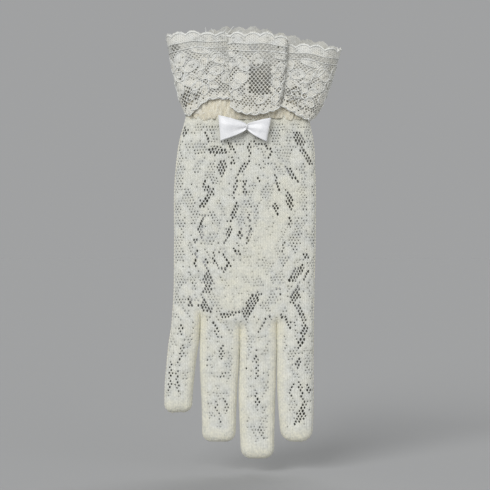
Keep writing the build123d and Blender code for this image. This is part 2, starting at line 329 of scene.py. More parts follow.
def glove_warmth(points):
    """How creamy the cloth is at each point: seam allowances, fingertips and the thumb's place."""
    x, z = points[:, 0], points[:, 2]
    warm = smoothstep((4.6 - side_margin(x, z)) / 2.4) * (1 - 0.35 * smoothstep((-114 - z) / 8))
    for finger in FINGERS.values():
        tip = smoothstep((finger["tip"] + 9 - z) / 6)
        warm = np.maximum(warm, np.where(inside_finger(finger, x, z), 0.75 * tip, 0))
    warm = np.maximum(warm, 0.42 * smoothstep((13 - distance(x, z, THUMB_SHADE)) / 8))
    warm = np.maximum(warm, 0.5 * smoothstep((z + 12) / 12))
    return np.clip(warm + 0.12 * ripple(2 * x, 2 * z), 0, 1)


class Shape:
    """Faces gathered into one mesh, with a material for each, and a warmth and a density at each point; on
    the hem the warmth carries painted crease shade.
    """

    def __init__(self):
        self.verts, self.warmth, self.dense, self.faces, self.slots, self.sharp = [], [], [], [], [], []
        self.count = 0

    def add(self, verts, groups, material=0, warm=0.0, sharp=(), inner=((), 0), dense=1.0):
        verts = verts.reshape(-1, 3)
        self.verts.append(verts)
        self.warmth.append(np.broadcast_to(warm, len(verts)))
        self.dense.append(np.broadcast_to(dense, len(verts)))
        for some, slot in ((groups, material), inner):
            for group in some:
                self.faces += (group + self.count).tolist()
                self.slots += [slot] * len(group)
        self.sharp += [edges + self.count for edges in sharp]
        self.count += len(verts)

    def make(self, name, materials, body=None, stands_for=()):
        """The finished piece; body and stands_for are the body it rides on and the CAD nodes it replaces."""
        mesh = bpy.data.meshes.new(name)
        mesh.from_pydata(np.concatenate(self.verts) * MM, [], self.faces)
        mesh.polygons.foreach_set("material_index", self.slots)
        mesh.polygons.foreach_set("use_smooth", [True] * len(self.faces))
        mesh.validate()
        if self.sharp:
            low, high = np.sort(np.concatenate(self.sharp), axis=1).T
            codes = low * self.count + high
            ends = np.zeros(len(mesh.edges) * 2, int)
            mesh.edges.foreach_get("vertices", ends)
            low, high = np.sort(ends.reshape(-1, 2), axis=1).T
            marks = np.isin(low * self.count + high, codes)
            mesh.attributes.new("sharp_edge", "BOOLEAN", "EDGE").data.foreach_set("value", marks)
        for title, values in (("warmth", self.warmth), ("dense", self.dense)):
            values = np.concatenate(values).astype(np.float32)
            mesh.attributes.new(title, "FLOAT", "POINT").data.foreach_set("value", values)
        for material in materials:
            mesh.materials.append(material)
        piece = bpy.data.objects.new(name, mesh)
        bpy.context.scene.collection.objects.link(piece)
        if body:
            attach(piece, body)
        if stands_for:
            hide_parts(*stands_for)
        return piece


def net_cells(first, end, rows):
    """Centres of the net's cells in these columns and rows."""
    return np.array([(x, 3 * j) for j in rows for x in range(first + (j & 1), end + 1 - (j & 1), 2)])


def round_cells(count, rows):
    """The same for a closed tube of this many half pitches."""
    return np.array([(x, 3 * j) for j in rows for x in range(j & 1, count, 2)])


def grid_quads(rows, columns, closed_rows=True, closed_columns=True):
    """Quads of a grid of points numbered row by row; where it is closed, its last points join its first."""
    i = np.arange(rows if closed_rows else rows - 1)[:, None]
    k = np.arange(columns if closed_columns else columns - 1)
    j, l = (i + 1) % rows, (k + 1) % columns
    return np.stack([i * columns + k, j * columns + k, j * columns + l, i * columns + l], -1).reshape(-1, 4)


def lace_sheet(shape, cells, limits, place, openness, warmth, outward=1, wrap=0):
    """Adds a sheet of lace at its real thickness: a hexagon for each cell, with a hole in the open ones.

    limits are its first and last column and its last row, wrap is the number of columns of a closed tube,
    and its outside takes the shape's first material and its inside and hole walls the second, which the
    pieces give as a darker copy: painted shade inside the cloth.
    """
    low, high, last = limits
    cx = np.clip(cells[:, None, 0] + CORNERS[None, :, 0], low, high)
    cy = np.minimum(cells[:, None, 1] + CORNERS[None, :, 1], last)
    if wrap:
        cx = cx % wrap
    keys, index = np.unique(cx.ravel() * 100000 + cy.ravel() + 50000, return_inverse=True)
    index = index.reshape(cx.shape)
    X, Y = keys // 100000, keys % 100000 - 50000
    points = place(X, Y)
    across = place(X + 0.5, Y) - place(X - 0.5, Y)
    down = place(X, Y + 0.5) - place(X, Y - 0.5)
    normal = unit(np.cross(across, down) * outward)
    # no knot of the net is quite in its place; the noise depends on its column and row alone, so seams meet
    inner = 1.0 if wrap else (X > low) & (X < high)
    for rate, way in ((12.99, across), (78.23, down)):
        wild = np.sin(X * rate + Y * 4.137 * rate) * 437.585
        jitter = (wild - np.floor(wild) - 0.5) * inner * UNEVEN
        points = points + unit(way) * jitter[:, None]
    middle = points[index].mean(1)
    size = openness(cells, middle)
    if not wrap:
        edge = (cells[:, 0] <= low) | (cells[:, 0] >= high)
        size = np.where(edge, 0, size)
    # a point is as thick as the cells around it are solid
    solid, used = np.zeros(len(keys)), np.zeros(len(keys))
    np.add.at(solid, index, (size == 0)[:, None].astype(float))
    np.add.at(used, index, 1.0)
    thick = NET_THICK + (SOLID_THICK - NET_THICK) * solid / used
    top = points + normal * thick[:, None] / 2
    bottom = points - normal * thick[:, None] / 2
    n = len(keys)
    # the holes are a little taller than they are wide, as the knit is pulled lengthways
    is_open = size > 0
    ring = index[is_open]
    m = len(ring)
    spoke = (points[ring] - middle[is_open][:, None]) * size[is_open][:, None, None]
    wale = unit(across[ring])
    spoke = 1.08 * spoke - 0.34 * wale * (spoke * wale).sum(-1, keepdims=True)
    in_top = middle[is_open][:, None] + spoke + normal[ring] * NET_THICK / 2
    in_bottom = in_top - normal[ring] * NET_THICK
    verts = np.concatenate([top, bottom, in_top.reshape(-1, 3), in_bottom.reshape(-1, 3)])
    hole = 2 * n + np.arange(m * 6).reshape(m, 6)
    nxt = np.roll(np.arange(6), -1)
    outside, inside = [index[~is_open]], [index[~is_open][:, ::-1] + n]
    upper = np.stack([ring, ring[:, nxt], hole[:, nxt], hole], -1).reshape(-1, 4)
    lower = np.stack([ring, hole, hole[:, nxt], ring[:, nxt]], -1).reshape(-1, 4)
    lower = np.where(lower < 2 * n, lower + n, lower + m * 6)
    bore = np.stack([hole, hole[:, nxt], hole[:, nxt] + m * 6, hole + m * 6], -1).reshape(-1, 4)
    outside.append(upper)
    inside += [lower, bore]
    # close the sheet along its outer edges
    a, b = index.ravel(), index[:, nxt].ravel()
    keep = a != b
    a, b = a[keep], b[keep]
    code = np.minimum(a, b) * n + np.maximum(a, b)
    _, first, times = np.unique(code, return_index=True, return_counts=True)
    edge = first[times == 1]
    outside.append(np.stack([b[edge], a[edge], a[edge] + n, b[edge] + n], -1))
    rim = np.stack([a[edge], b[edge]], -1)
    # the outside of the cloth faces along its normals
    order = np.cross(points[index[:, 1]] - points[index[:, 0]], points[index[:, 2]] - points[index[:, 1]])
    if (order * normal[index[:, 1]]).sum() < 0:
        outside, inside = [g[:, ::-1] for g in outside], [g[:, ::-1] for g in inside]
    outside = [part for g in outside for part in clean(g)]
    inside = [part for g in inside for part in clean(g)]
    dense = np.concatenate([solid / used, solid / used, np.zeros(12 * m)])
    shape.add(verts, outside, 0, warmth(verts), (rim, rim + n), inner=(inside, 1), dense=dense)


def clean(faces):
    """The whole faces, then those that have lost a corner or more at a straight edge, sorted by size."""
    same = faces == np.roll(faces, -1, axis=1)
    cut = same.any(1)
    rest = [face[~lost] for face, lost in zip(faces[cut], same[cut])]
    sized = [[face for face in rest if len(face) == count] for count in (3, 4, 5)]
    return [faces[~cut]] + [np.array(some) for some in sized if some]


def tube(shape, path, radius, sides=6, flat=(1.0, 1.0), up=(0, 1, 0), closed=False, material=0, warm=0.0):
    """Adds a round or flattened cord along a path; flat scales it along up and across it."""
    n = len(path)
    along = unit(np.roll(path, -1, 0) - np.roll(path, 1, 0) if closed else np.gradient(path, axis=0))
    side = unit(np.cross(along, up))
    up = np.cross(side, along)
    radius = np.broadcast_to(radius, n)[:, None, None]
    turn = full_turn(sides)[:, None]
    ring = up[:, None] * np.cos(turn) * flat[0] + side[:, None] * np.sin(turn) * flat[1]
    verts = path[:, None] + ring * radius
    groups = [grid_quads(n, sides, closed)[:, [0, 3, 2, 1]]]
    if not closed:
        groups += [np.arange(sides)[None, ::-1], (n - 1) * sides + np.arange(sides)[None, :]]
    shape.add(verts, groups, material, warm)


# ---- materials ----
def linear(*rgb):
    """Linear colour of an sRGB one given from 0 to 255."""
    c = np.array(rgb) / 255
    return tuple(np.where(c <= 0.04045, c / 12.92, ((c + 0.055) / 1.055) ** 2.4)) + (1.0,)


def node(tree, kind, inputs=None, **settings):
    """A new node, with its inputs set to numbers or joined to sockets."""
    made = tree.nodes.new(kind)
    for key, value in settings.items():
        setattr(made, key, value)
    for key, value in (inputs or {}).items():
        if isinstance(value, bpy.types.NodeSocket):
            tree.links.new(value, made.inputs[key])
        else:
            made.inputs[key].default_value = value
    return made


def new_material(name):
    material = bpy.data.materials.new(name)
    material.use_nodes = True
    tree = material.node_tree
    tree.nodes.clear()
    out = tree.nodes.new("ShaderNodeOutputMaterial")
    shader = tree.nodes.new("ShaderNodeBsdfPrincipled")
    tree.links.new(shader.outputs[0], out.inputs[0])
    return material, tree, shader


def colour_mix(tree, factor, a, b):
    made = node(tree, "ShaderNodeMix", data_type="RGBA")
    for socket, value in ((made.inputs[0], factor), (made.inputs[6], a), (made.inputs[7], b)):
        if isinstance(value, bpy.types.NodeSocket):
            tree.links.new(value, socket)
        else:
            socket.default_value = value
    return made.outputs[2]


def noise(tree, place, scale, detail):
    inputs = {"Vector": place, "Scale": scale, "Detail": detail}
    return node(tree, "ShaderNodeTexNoise", inputs).outputs["Fac"]


def ribs(tree, place, pitch, distortion, way="X", detail=2.0):
    """Ribs this many millimetres apart, a little uneven."""
    inputs = {"Vector": place, "Scale": 0.314 / (pitch * MM), "Distortion": distortion, "Detail": detail}
    return node(tree, "ShaderNodeTexWave", inputs, bands_direction=way).outputs["Fac"]


def attribute(tree, name):
    return node(tree, "ShaderNodeAttribute", attribute_name=name).outputs["Fac"]


def ramp(tree, value, low, high, top=1.0):
    """The value stretched from low..high to 0..top."""
    inputs = {"Value": value, "From Min": low, "From Max": high, "To Max": top}
    return node(tree, "ShaderNodeMapRange", inputs).outputs[0]


def relief(tree, shader, height, strength, distance):
    inputs = {"Height": height, "Strength": strength, "Distance": distance}
    tree.links.new(node(tree, "ShaderNodeBump", inputs).outputs[0], shader.inputs["Normal"])


def lace_material(name, pale, cream, dark, net=None, knit=0.9, bump=0.35):
    """Knitted cotton: cream where it is warm, greyer in the thin net (painted shade for what shows through
    it), mottled, with a knit in relief.
    """
    material, tree, shader = new_material(name)
    place = node(tree, "ShaderNodeTexCoord").outputs["Object"]
    warmth = attribute(tree, "warmth")
    cloud = noise(tree, place, 210.0, 3.0)
    mottle = noise(tree, place, 900.0, 2.0)
    spread = ramp(tree, cloud, 0.35, 0.7)
    speck = ramp(tree, mottle, 0.3, 0.7, 0.8)
    # painted shade: the thin net is mixed towards a greyer colour, standing in for the shade seen through
    # its holes
    if net:
        pale = colour_mix(tree, attribute(tree, "dense"), net, pale)
    ground = colour_mix(tree, warmth, pale, cream)
    ground = colour_mix(tree, speck, ground, dark)
    soft = colour_mix(tree, spread, ground, colour_mix(tree, 0.35, ground, cream))
    tree.links.new(soft, shader.inputs["Base Color"])
    turned = node(tree, "ShaderNodeMapping", {"Vector": place, "Rotation": (0, math.radians(28), 0)})
    rows = ribs(tree, place, knit, 1.2, detail=1.0)
    slant = ribs(tree, turned.outputs[0], knit * 0.7, 1.5, "Z")
    stitches = node(tree, "ShaderNodeMath", {0: rows, 1: slant}, operation="MULTIPLY").outputs[0]
    fuzz = node(tree, "ShaderNodeMath", {0: stitches, 1: mottle}, operation="ADD").outputs[0]
    relief(tree, shader, fuzz, bump, 0.0002)
    shader.inputs["Roughness"].default_value = 0.82
    shader.inputs["Specular IOR Level"].default_value = 0.25
    shader.inputs["Sheen Weight"].default_value = 0.15
    shader.inputs["Sheen Roughness"].default_value = 0.5
    return material


# The net colours given here are painted shade for the thin net.
GLOVE = lace_material("glove_lace", linear(230, 231, 225), linear(237, 233, 212), linear(198, 199, 191),
                      net=linear(208, 210, 206), bump=0.9)
# A darker copy of the glove's lace for its inside faces and hole walls: painted shade inside the glove and
# in its holes.
GLOVE_INSIDE_SHADE = lace_material("glove_lace_inside_painted_shade", linear(188, 188, 183), linear(192, 188, 172),
                             linear(158, 158, 151))
RUFFLE = lace_material("ruffle_net", linear(232, 233, 230), linear(236, 231, 215), linear(206, 207, 202),
                       net=linear(186, 188, 186), knit=1.1, bump=0.9)
# A darker copy of the ruffle's net for its inside faces and hole walls: painted shade inside the ruffle.
RUFFLE_INSIDE_SHADE = lace_material("ruffle_net_inside_painted_shade", linear(196, 197, 194), linear(202, 198, 184),
                              linear(168, 168, 163), knit=1.1)
# On the hem, the cream colour is painted shade in the crease hollows and the pale colour a painted highlight
# on the ridges.
HEM = lace_material("hem_cloth_crease_shade", linear(236, 233, 220), linear(228, 221, 200), linear(206, 198, 176),
                    bump=0.6)
SEAM = lace_material("seam_overlock", linear(230, 230, 222), linear(238, 233, 210), linear(204, 200, 182),
                     knit=0.6, bump=0.5)


def shiny_material(name, colour, shade, rough, weave=0.25, bump=0.15, sheen=0.3):
    """Satin or rayon: a smooth close weave with a soft gloss."""
    material, tree, shader = new_material(name)
    place = node(tree, "ShaderNodeTexCoord").outputs["Object"]
    cloud = noise(tree, place, 320.0, 2.0)
    lines = ribs(tree, place, weave, 0.6)
    tone = colour_mix(tree, ramp(tree, cloud, 0.35, 0.7), colour, shade)
    tree.links.new(tone, shader.inputs["Base Color"])
    height = node(tree, "ShaderNodeMath", {0: lines, 1: cloud}, operation="ADD").outputs[0]
    relief(tree, shader, height, bump, 0.0001)
    shader.inputs["Roughness"].default_value = rough
    shader.inputs["Sheen Weight"].default_value = sheen
    return material


SATIN = shiny_material("satin_ribbon", linear(240, 240, 242), linear(230, 231, 234), 0.40)
RAYON = shiny_material("outline_thread", linear(234, 235, 232), linear(220, 221, 216), 0.5, bump=0.3)
THREAD = shiny_material("sewing_thread", linear(246, 246, 247), linear(236, 236, 236), 0.5, bump=0.2)
ELASTIC = shiny_material("woven_elastic", linear(226, 223, 212), linear(206, 202, 188), 0.7,
                         weave=0.8, bump=0.5)

# ---- hand and fingers ----
HAND_ROWS = 61  # rows of the hand's net; the fingers' nets go on below them
STITCH = 1.7  # pitch of the overlock stitches along a seam
OVAL = (31.2, -37.0, 3.5, 19.0)  # the thumb's hole in the palm: middle, half width and half height
NO_LIMIT = 10 ** 4  # a row or column past the end of any net
SPECKS = 0.025  # share of the flowers' cells that have a small hole
SPECK_HOLE = 0.36  # its size
CLOSED = 0.04  # share of the fine net's cells that are closed
SHADE_REACH = 9  # this near the thumb's line, the back's fine net is finer still
SHADE_HOLE = 0.65  # holes under this size are scaled by it there
for number, finger in enumerate(FINGERS.values()):
    finger["columns"] = (EDGE_X[number], EDGE_X[number + 1])


def glove_openness(side):
    """Openness of the glove's lace on one side; the palm has the same pattern upside down."""
    def openness(cells, middle):
        x, z = middle[:, 0], middle[:, 2]
        if side < 0:
            size = net_openness(x, z)
        else:
            size = net_openness(3 - x, np.where(z > -106, -108 - z, -284 - z))
        speck = (RANDOM.random(len(x)) < SPECKS) & (size == 0)
        size = np.where(speck, SPECK_HOLE, size)
        size = np.where((RANDOM.random(len(x)) < CLOSED) & (size < 0.6), 0, size)
        size = size * RANDOM.uniform(0.8, 1.1, len(x))
        if side < 0:
            over = distance(x, z, THUMB_SHADE)
            size = np.where((over < SHADE_REACH) & (size < SHADE_HOLE), size * SHADE_HOLE, size)
            size = np.where((over < 6) & (size < SHADE_HOLE) & (RANDOM.random(len(x)) < 0.6), 0, size)
        # the fingers' holes are smaller, the index finger's least so
        faint = smoothstep((-z - 104) / 12) * np.where(x > 17, 0.35, 1.0)
        size = size * (1 - 0.26 * faint)
        size = np.where((RANDOM.random(len(x)) < 0.2 * faint) & (size < 0.5), 0, size)
        # the cloth is solid beside the slits, in the fingertips, at the wrist and in the thumb's oval
        size = np.where(side_margin(x, z) < 3.2, 0, size)
        for finger in FINGERS.values():
            size = np.where(inside_finger(finger, x, z) & (z < finger["tip"] + 8), 0, size)
        size = np.where(z > -4.5, 0, size)
        if side > 0:
            size = np.where(((x - OVAL[0]) / 4) ** 2 + ((z - OVAL[1]) / 20) ** 2 < 1, 0, size)
        return size
    return openness


def glove_piece(name, finger, rows, sides, edges):
    """A length of the glove, on these sides of it, with seam cords down these columns."""
    shape = Shape()
    first, end = finger["columns"] if finger else (EDGE_X[0], EDGE_X[-1])
    last = finger_rows(finger)[0] * 3 if finger else NO_LIMIT
    for side in sides:
        lace_sheet(shape, net_cells(first, end, rows), (first, end, last),
                   lambda X, Y: glove_point(X, Y, finger, side), glove_openness(side), glove_warmth, side)
    for column in edges:
        top, flat = rows[0] * 3 - 1, (1.35, 0.8)
        if 0 < column < EDGE_X[-1]:
            flat = (1.35, 0.3)
            top = max(top, -CROTCH_Z[EDGE_X.index(column)] / STEP_Y)
        steps = np.arange(top, min(rows[-1] * 3 + 2, last) + 0.01)
        path = glove_point(np.full(len(steps), float(column)), steps, finger, -1)
        path[:, 1] = 0
        size = 0.62 + 0.16 * np.sin(steps * STEP_Y * TURN / STITCH)
        tube(shape, path, size, 6, flat=flat, material=2, warm=0.2)
    piece = shape.make(name, [GLOVE, GLOVE_INSIDE_SHADE, SEAM])
    return piece


hand_rows = range(HAND_ROWS)
back = glove_piece("lace_back", None, hand_rows, (-1,), [EDGE_X[0], EDGE_X[-1]])
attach(back, "hand")
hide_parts("back_panel", "pinky_side_seam", "thumb_side_seam")
palm = glove_piece("lace_palm", None, hand_rows, (1,), [])
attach(palm, "hand")
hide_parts("palm_panel")


def row_at(z):
    """The net row at a height on the straight part of the glove."""
    return round(-z / ROW)


for name, finger in FINGERS.items():
    middle_at, tip_at = finger["bends"]
    first_cut = row_at((finger["knuckle"] + middle_at) / 2 - 1)
    second_cut = row_at((middle_at + tip_at) / 2)
    last = finger_rows(finger)[0]
    knuckle = finger["knuckle"]
    # each length: name, rows, the bodies on both sides of its joint, and where the bend starts and ends
    spans = [
        ("root", range(HAND_ROWS, first_cut), "hand", "base", knuckle + 1.5, knuckle - 7),
        ("mid", range(first_cut, second_cut), f"{name}_base", "middle", middle_at + 4.5, middle_at - 4.5),
        ("tip", range(second_cut, last + 1), f"{name}_middle", "tip", tip_at + 4.5, tip_at - 4.5),
    ]
    for length, rows, near, far, start, end in spans:
        piece = glove_piece(f"lace_{name}_{length}", finger, rows, (-1, 1), list(finger["columns"]))
        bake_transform(piece)
        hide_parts(f"{name}_{far}_back", f"{name}_{far}_palm")


def crotch_roll(name, number, left, right):
    """The short rolled seam that joins back to palm where two fingers part."""
    shape = Shape()
    x, z = CROTCH_X[number], CROTCH_Z[number]
    turn = np.linspace(0, math.pi, 15)
    path = np.stack([x + 0.75 * np.cos(turn), 0 * turn, z - 2.6 + 2.6 * np.sin(turn)], -1)
    tube(shape, path, 0.7 + 0.12 * np.sin(turn * 9), 8, flat=(1.7, 0.8), warm=0.9)
    shape.make(name, [SEAM], "hand", [f"{left}_{right}_crotch_seam"])


names = list(FINGERS)
for number, (left, right) in enumerate(zip(names, names[1:]), 1):
    crotch_roll(f"crotch_roll_{left}_{right}", number, left, right)


# ---- thumb: sewn into an oval hole in the palm and folded flat across it ----
THUMB_TOP = (35.8, -32.0)  # x and z of the upper end of the thumb's middle line
THUMB_Y = 9.3
THUMB_LEAN = math.radians(34)
THUMB_HALF = 9.3  # half its width
THUMB_DEPTH = 3.6
THUMB_CORNER = 5  # radius of its tip's corners
THUMB_CELLS = 58  # half pitches round the thumb
THUMB_START = 13.0  # length along the thumb at which it is a full tube
THUMB_END = 80.0
THUMB_SPLIT = 30  # length at which its root ends and its end begins
THUMB_SEW = 6  # rows between the oval seam and the full tube
THUMB_OVAL = oval_table(THUMB_HALF, THUMB_DEPTH, 2.3)
THUMB_STRAIGHT = THUMB_END - TIP_SWEEP
THUMB_ROWS = THUMB_SEW + round((THUMB_STRAIGHT - THUMB_START + TIP_SWEEP * math.pi / 2) / ROW)
SEAM_Y = 4.9  # depth of the palm's cloth at the oval seam


def thumb_point(X, Y):
    """Points of the thumb's cloth: X goes all the way round it, Y down from the oval seam."""
    X = X % THUMB_CELLS
    half = THUMB_CELLS / 2
    outer = X > half
    across, depth = oval_at(THUMB_OVAL, np.where(outer, 3 - 2 * X / half, 2 * X / half - 1))
    depth = np.where(outer, depth, -depth)
    length = (Y - THUMB_SEW * 3) * STEP_Y + THUMB_START
    past = length - THUMB_STRAIGHT
    turn = np.clip(past / (TIP_SWEEP * math.pi / 2), 0, 1) * math.pi / 2
    down = np.where(past < 0, np.maximum(length, THUMB_START), THUMB_STRAIGHT + TIP_SWEEP * np.sin(turn))
    below = np.clip(down - (THUMB_END - THUMB_CORNER), 0, THUMB_CORNER)
    wide = (THUMB_HALF - THUMB_CORNER + np.sqrt(THUMB_CORNER ** 2 - below ** 2)) * across
    x = THUMB_TOP[0] - math.sin(THUMB_LEAN) * down + math.cos(THUMB_LEAN) * wide
    z = THUMB_TOP[1] - math.cos(THUMB_LEAN) * down - math.sin(THUMB_LEAN) * wide
    y = THUMB_Y + THUMB_DEPTH * depth * np.cos(turn)
    # its first rows grow out of the oval seam
    joined = np.clip((Y + 2) / (THUMB_SEW * 3 + 2), 0, 1)
    flat = smoothstep(joined)
    oval_x = OVAL[0] + OVAL[2] * depth
    oval_z = OVAL[1] - OVAL[3] * across
    x = oval_x + (x - oval_x) * flat + 2.2 * np.sin(joined * math.pi) * np.clip(depth, 0, 1)
    z = oval_z + (z - oval_z) * flat
    y = SEAM_Y + (y - SEAM_Y) * np.where(depth > 0, np.sin(joined * math.pi / 2), flat)
    y = y + 0.2 * ripple(x + 40, z) * np.cos(turn)
    return np.stack([x, y, z], -1)


def thumb_openness(cells, middle):
    """Openness of the thumb's lace, which has another stretch of the glove's pattern, turned on its side."""
    x, z = middle[:, 0], middle[:, 2]
    size = net_openness(z * 0.9 + 62, x * 1.1 - 70)
    size = np.where(cells[:, 1] < 6, 0, size)
    return np.where(cells[:, 1] > (THUMB_ROWS - 5) * 3, 0, size)


def thumb_warmth(points):
    return np.clip(0.75 + 0.2 * ripple(points[:, 0] * 2, points[:, 2] * 2), 0, 1)


def thumb_piece(name, rows):
    shape = Shape()
    lace_sheet(shape, round_cells(THUMB_CELLS, rows), (-NO_LIMIT, NO_LIMIT, THUMB_ROWS * 3), thumb_point,
               thumb_openness, thumb_warmth, -1, wrap=THUMB_CELLS)
    piece = shape.make(name, [GLOVE, GLOVE_INSIDE_SHADE])
    return piece


THUMB_CUT = THUMB_SEW + round((THUMB_SPLIT - THUMB_START) / ROW)
root = thumb_piece("lace_thumb_root", range(THUMB_CUT))
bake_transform(root)
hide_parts("thumb_base_back", "thumb_base_palm")
end = thumb_piece("lace_thumb_end", range(THUMB_CUT, THUMB_ROWS + 1))


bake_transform(end)
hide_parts("thumb_tip_back", "thumb_tip_palm")

shape = Shape()
turn = full_turn(120)
path = np.stack([OVAL[0] + OVAL[2] * np.cos(turn), 4.75 + 0 * turn, OVAL[1] + OVAL[3] * np.sin(turn)], -1)
tube(shape, path, 0.6 + 0.12 * np.sin(turn * 60), 6, closed=True, warm=0.8)
shape.make("thumb_oval_seam", [SEAM], "hand", ["thumb_hole_seam"])


# ---- wrist: a folded hem, wrinkled by the elastic inside it ----
def round_oval(turn, wide, deep, power=2.6):
    """Points round a flat oval, starting at its +X end."""
    c, s = np.cos(turn), np.sin(turn)
    return wide * np.sign(c) * np.abs(c) ** (2 / power), deep * np.sign(s) * np.abs(s) ** (2 / power)


WRIST_X = 2.6  # the middle of the wrist is this far to the thumb's side
HEM_MIDDLE = 4.6  # height of its middle line, and half its height
HEM_HALF = 6.4
# Creases of the hem: (how many round the wrist, slant, depth).
CREASES = [(37, 0.5, 0.34), (61, -0.8, 0.30), (88, 0.3, 0.24), (23, -0.3, 0.25), (121, 0.9, 0.12)]


def hem_piece():
    shape = Shape()
    around, section = 420, 22
    turn, part = full_turn(around)[:, None], full_turn(section)[None, :]
    height = HEM_MIDDLE + HEM_HALF * np.sin(part)
    out = 0.95 * np.cos(part) * (1 - 0.25 * np.sin(part) ** 8)
    creases = np.zeros((around, section))
    for count, tilt, strength in CREASES:
        creases += strength * np.sin(count * turn + tilt * (height - 4) + 3 * np.sin(3 * turn + count))
    wide = 32.2 - 0.05 * (height - HEM_MIDDLE) + out + 0.5 * creases
    deep = 5.1 + out + 0.75 * creases
    x, y = round_oval(turn, wide, deep)
    z = height + 0.5 * np.sin(9 * turn) + 0.35 * np.sin(23 * turn + 1)
    # painted shade and highlight: the hem goes creamier and darker in the hollows of its creases and paler
    # on their ridges
    warm = 0.5 + 0.5 * np.clip(creases * -1.4, -1, 1)
    shape.add(np.stack([x + WRIST_X, y, z], -1), [grid_quads(around, section)], 0, warm.reshape(-1))
    shape.make("hem_wrinkled", [HEM], "hand", ["wrist_hem"])


hem_piece()
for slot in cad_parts["wrist_elastic"].material_slots:
    slot.material = ELASTIC

# ---- ruffle: a strip of galloon lace, gathered at the wrist and folded over itself at the front ----
# Each fold line of the strip: its place at the top edge and at the bottom edge.
RUFFLE_LINES = [
    ((-41.2, 3, 41.5), (-30.8, 2, 2)), ((-37.5, -4.5, 43.2), (-28.5, -4, 0.5)),
    ((-24, -7.2, 43.2), (-19, -6.2, 8)), ((-10, -6.5, 42.8), (-8.5, -6.8, 9)),
    ((-2, -6, 42.8), (-5.2, -6.9, 9)), ((-6, -8.6, 42.4), (-6.6, -7.6, 7)),
    ((-8.9, -10.2, 41.2), (-6.4, -8.4, 4)), ((-4, -11.6, 42.2), (-2.5, -8.6, 1.6)),
    ((7, -12, 42.2), (5.5, -8.6, 0.2)), ((18.5, -11, 41), (15, -8.3, 2.2)),
    ((23, -9.2, 39.8), (18.8, -7.6, 4.2)), ((17.5, -7.4, 37.6), (16.5, -7, 5.6)),
    ((24.5, -6.4, 37.2), (20, -6.9, 4.6)), ((38, -7, 36.2), (28.5, -5.8, 0)),
    ((47.5, -3.6, 35.2), (34, -3.2, -2.2)), ((51.6, 3, 35.4), (36, 1, -1.2)),
    ((47, 9.5, 38.5), (32.5, 4.8, 1)), ((37, 12.5, 41.5), (25.5, 6.8, 3)),
    ((27.5, 10, 43), (19.5, 7.2, 3)), ((17.5, 13, 45.8), (12.2, 7.6, 2.4)),
    ((6, 10.5, 48), (4.6, 7.2, 2.6)), ((-4, 13, 48.6), (-4.6, 7.6, 2.4)),
    ((-14, 10.2, 47.4), (-12.2, 7.2, 3)), ((-26, 12, 45), (-20.5, 7.2, 2.4)),
    ((-36.5, 9, 43), (-27.5, 5.8, 2.2)),
]
RUFFLE_CELLS = 208  # half pitches along the strip
RUFFLE_ROWS = 36
RUFFLE_HIGH = 46  # the strip's flat height and length
RUFFLE_LONG = 250
LINE_STEPS = 40
SCALLOPS = 30
FLARE = 0.62  # below 1, the ruffle flares most near its foot


def closed_curve(knots):
    """Points on a smooth closed line through knots, LINE_STEPS of them to each knot."""
    knots = np.array(knots, float)
    after = np.roll(knots, -1, 0)
    slope = (after - np.roll(knots, 1, 0)) / 2
    t = np.linspace(0, 1, LINE_STEPS, endpoint=False)[None, :, None]
    line = hermite(t, knots[:, None], after[:, None], slope[:, None], np.roll(slope, -1, 0)[:, None])
    return line.reshape(-1, 3)


RUFFLE_TOP = closed_curve([top for top, _ in RUFFLE_LINES])
RUFFLE_FOOT = closed_curve([foot for _, foot in RUFFLE_LINES])
steps = np.linalg.norm(np.diff(np.vstack([RUFFLE_TOP, RUFFLE_TOP[:1]]), axis=0), axis=1)
RUFFLE_ROUND = np.concatenate([[0], np.cumsum(steps)]) / steps.sum()
# The middle panel of the front lies between these two fold lines.
PANEL = [RUFFLE_ROUND[LINE_STEPS * k] for k in (6, 9)]


def along_strip(line, u):
    """Points of a closed line at these shares of the way round the strip."""
    closed = np.vstack([line, line[:1]])
    return np.stack([np.interp(u % 1.0, RUFFLE_ROUND, closed[:, k]) for k in range(3)], -1)


def ruffle_point(u, t):
    """Points of the ruffle: u once round the strip, t from its foot (0) to its top edge (1)."""
    top, foot = along_strip(RUFFLE_TOP, u), along_strip(RUFFLE_FOOT, u)
    share = np.clip(t, 0.0001, 2)
    flared = share ** FLARE
    point = foot + (top - foot) * np.stack([flared, flared, share], -1)
    flute = 0.5 * share * np.sin(TURN * 21 * u) + 0.55 * (1 - share) ** 2 * np.sin(TURN * 67 * u)
    point[..., 1] += flute * (0.3 + 0.7 * np.cos(TURN * u) ** 2)
    point[..., 2] += 0.35 * np.sin(TURN * 13 * u + 1.3) * share
    return point


def scallop(u):
    """The scallops' height, 0 to 1, round the strip."""
    return np.abs(np.sin(math.pi * SCALLOPS * u)) ** 0.7


def ruffle_place(X, Y):
    """Points of the ruffle for net coordinates, with its two edges scalloped."""
    u, t = X / RUFFLE_CELLS, 1 - Y / (3 * RUFFLE_ROWS)
    edge = np.clip((t - 0.88) / 0.12, 0, 1.1)
    t = t + 0.045 * edge * (scallop(u) - 0.6)
    low = np.clip((0.08 - t) / 0.08, 0, 1.1)
    t = t - 0.03 * low * (scallop(u * 1.3) - 0.6)
    return ruffle_point(u, t)


# One repeat of the strip's pattern: two flowers, (along, height, radii of their rings), and the petals and
# leaves, (along, height, turn in degrees, half length, half width).
REPEATS = 8
REPEAT = RUFFLE_LONG / REPEATS
RING_FLOWER = (9.5, 23.0, 4.0, 1.8)
SMALL_FLOWER = (25.2, 12.6, 2.0)


def petals(flower, angles, away_u, away_v, long, wide):
    """Petals round a flower's middle."""
    u, v = flower[:2]
    return [(u + away_u * math.cos(a), v + away_v * math.sin(a), math.degrees(a), long, wide)
            for a in angles]


